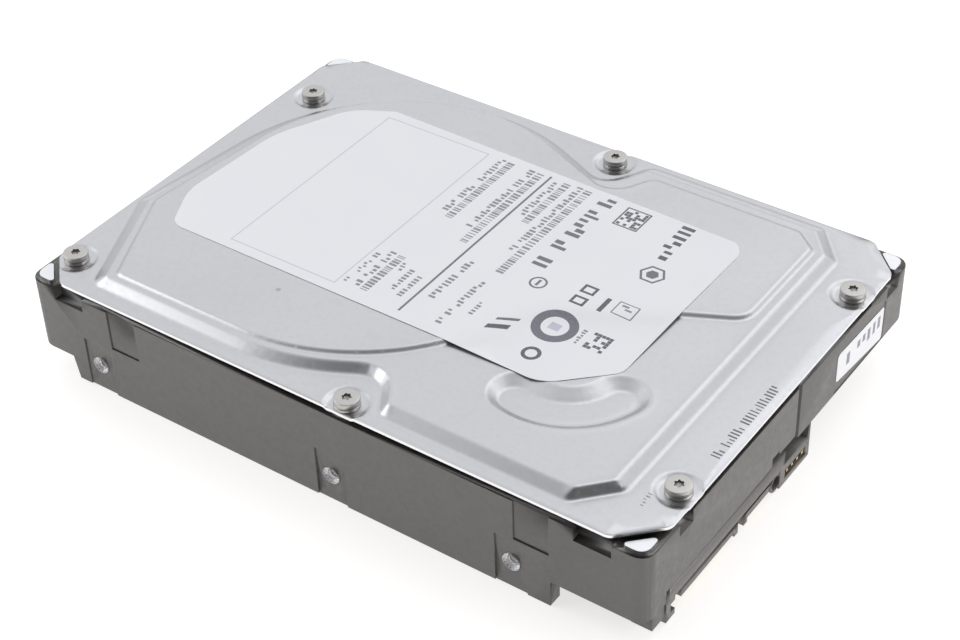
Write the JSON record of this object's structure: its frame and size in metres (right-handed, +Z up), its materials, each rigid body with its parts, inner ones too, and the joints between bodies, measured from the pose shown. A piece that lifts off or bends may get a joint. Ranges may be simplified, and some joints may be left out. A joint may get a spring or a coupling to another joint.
{
  "type": "hard disk drive",
  "caption": "Low flat metal box with a screwed-down pressed cover, a labelled top, an edge connector at one short end and threaded mounting holes; discs and a head arm inside.",
  "frame": {"origin": "bottom centre of the bounding box, on the plane of the mounting rails", "axes": "+X along the length towards the connector end, +Y across the width, +Z up through the cover and its label"},
  "size_m": [0.147, 0.1016, 0.0261],
  "materials": {
    "coated_casting": "die-cast aluminium with a dark grey electrocoat",
    "cover_steel": "satin stainless sheet",
    "gasket_rubber": "black moulded rubber",
    "screw_steel": "bright nickel-plated steel",
    "label_paper": "matt white film",
    "board_laminate": "green solder mask on laminate",
    "foam": "dark grey foam sheet",
    "connector_plastic": "light grey glass-filled nylon",
    "gold_contact": "gold-plated brass",
    "chip_plastic": "black moulding compound",
    "machined_aluminium": "machined aluminium",
    "bearing_bronze": "bronze",
    "magnet_steel": "nickel-plated steel",
    "copper_wire": "enamelled copper",
    "disc_mirror": "polished and coated aluminium disc",
    "white_plastic": "ivory engineering plastic",
    "polyimide": "amber polyimide film"
  },
  "bodies": {
    "chassis": {"base_casting": "coated_casting", "top_cover": "cover_steel", "cover_gasket": "gasket_rubber", "cover_screw_1": "screw_steel", "cover_screw_2": "screw_steel", "cover_screw_3": "screw_steel", "cover_screw_4": "screw_steel", "cover_screw_5": "screw_steel", "cover_screw_6": "screw_steel", "top_label": "label_paper", "end_label": "label_paper", "circuit_board": "board_laminate", "board_insulator": "foam", "board_screw_1": "screw_steel", "board_screw_2": "screw_steel", "board_screw_3": "screw_steel", "board_screw_4": "screw_steel", "sata_connector": "connector_plastic", "power_contacts": "gold_contact", "data_contacts": "gold_contact", "jumper_pins": "gold_contact", "controller_chip": "chip_plastic", "memory_chip": "chip_plastic", "motor_driver_chip": "chip_plastic", "motor_base": "machined_aluminium", "bearing_sleeve": "bearing_bronze", "stator_core": "magnet_steel", "stator_windings": "copper_wire", "pivot_shaft": "screw_steel", "vcm_lower_plate": "magnet_steel", "vcm_upper_plate": "magnet_steel", "vcm_lower_magnet": "magnet_steel", "vcm_upper_magnet": "magnet_steel", "vcm_post_1": "screw_steel", "crash_stop_1": "gasket_rubber", "vcm_post_2": "screw_steel", "crash_stop_2": "gasket_rubber", "latch_pin": "screw_steel", "head_ramp": "white_plastic", "flex_cable": "polyimide", "flex_bracket": "machined_aluminium", "air_filter": "label_paper"},
    "disc_pack": {"spindle_shaft": "screw_steel", "spindle_hub": "machined_aluminium", "rotor_magnet": "magnet_steel", "platter_lower": "disc_mirror", "platter_upper": "disc_mirror", "disc_spacer": "machined_aluminium", "disc_clamp": "machined_aluminium", "clamp_screw_1": "screw_steel", "clamp_screw_2": "screw_steel", "clamp_screw_3": "screw_steel"},
    "actuator": {"actuator_block": "machined_aluminium", "pivot_bearing": "cover_steel", "voice_coil": "copper_wire", "head_suspension_1": "cover_steel", "head_suspension_2": "cover_steel", "head_suspension_3": "cover_steel", "head_suspension_4": "cover_steel"},
    "latch": {"latch_lever": "white_plastic"}
  },
  "joints": [
    {"name": "spindle", "type": "hinge", "parent": "chassis", "child": "disc_pack", "pos_m": [-0.0225, 0, 0.015], "axis": [0, 0, 1], "continuous": true},
    {"name": "head_pivot", "type": "hinge", "parent": "chassis", "child": "actuator", "pos_m": [0.0345, -0.008, 0.015], "axis": [0, 0, 1], "range_deg": [0, 32.5]},
    {"name": "latch_pivot", "type": "hinge", "parent": "chassis", "child": "latch", "pos_m": [0.022, -0.033, 0.016], "axis": [0, 0, 1], "range_deg": [-12, 0]}
  ]
}
